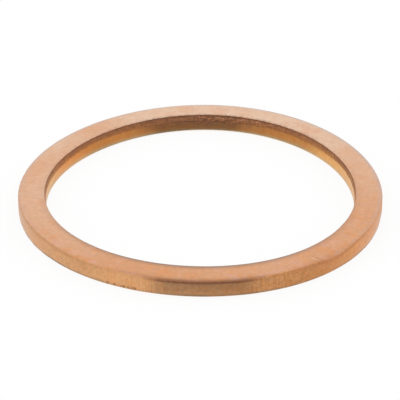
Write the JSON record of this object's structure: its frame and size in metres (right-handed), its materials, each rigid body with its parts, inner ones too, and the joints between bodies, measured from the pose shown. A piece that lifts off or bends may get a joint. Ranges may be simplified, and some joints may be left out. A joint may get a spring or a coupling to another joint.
{
  "type": "flat sealing ring",
  "caption": "Flat copper sealing ring that is crushed between two flat faces round a threaded joint, with one edge of the rim rolled over by the blanking punch.",
  "frame": {"origin": "centre of the lower face, on the ring's axis", "axes": "+Z along the ring's axis, out of the face whose outer edge is rolled over; X and Y lie in the plane of the ring"},
  "size_m": [0.039, 0.039, 0.002],
  "materials": {
    "soft_copper": "satin annealed copper, with a cold-rolled face and a punched edge"
  },
  "bodies": {
    "root": {"sealing_ring": "soft_copper"}
  },
  "joints": []
}
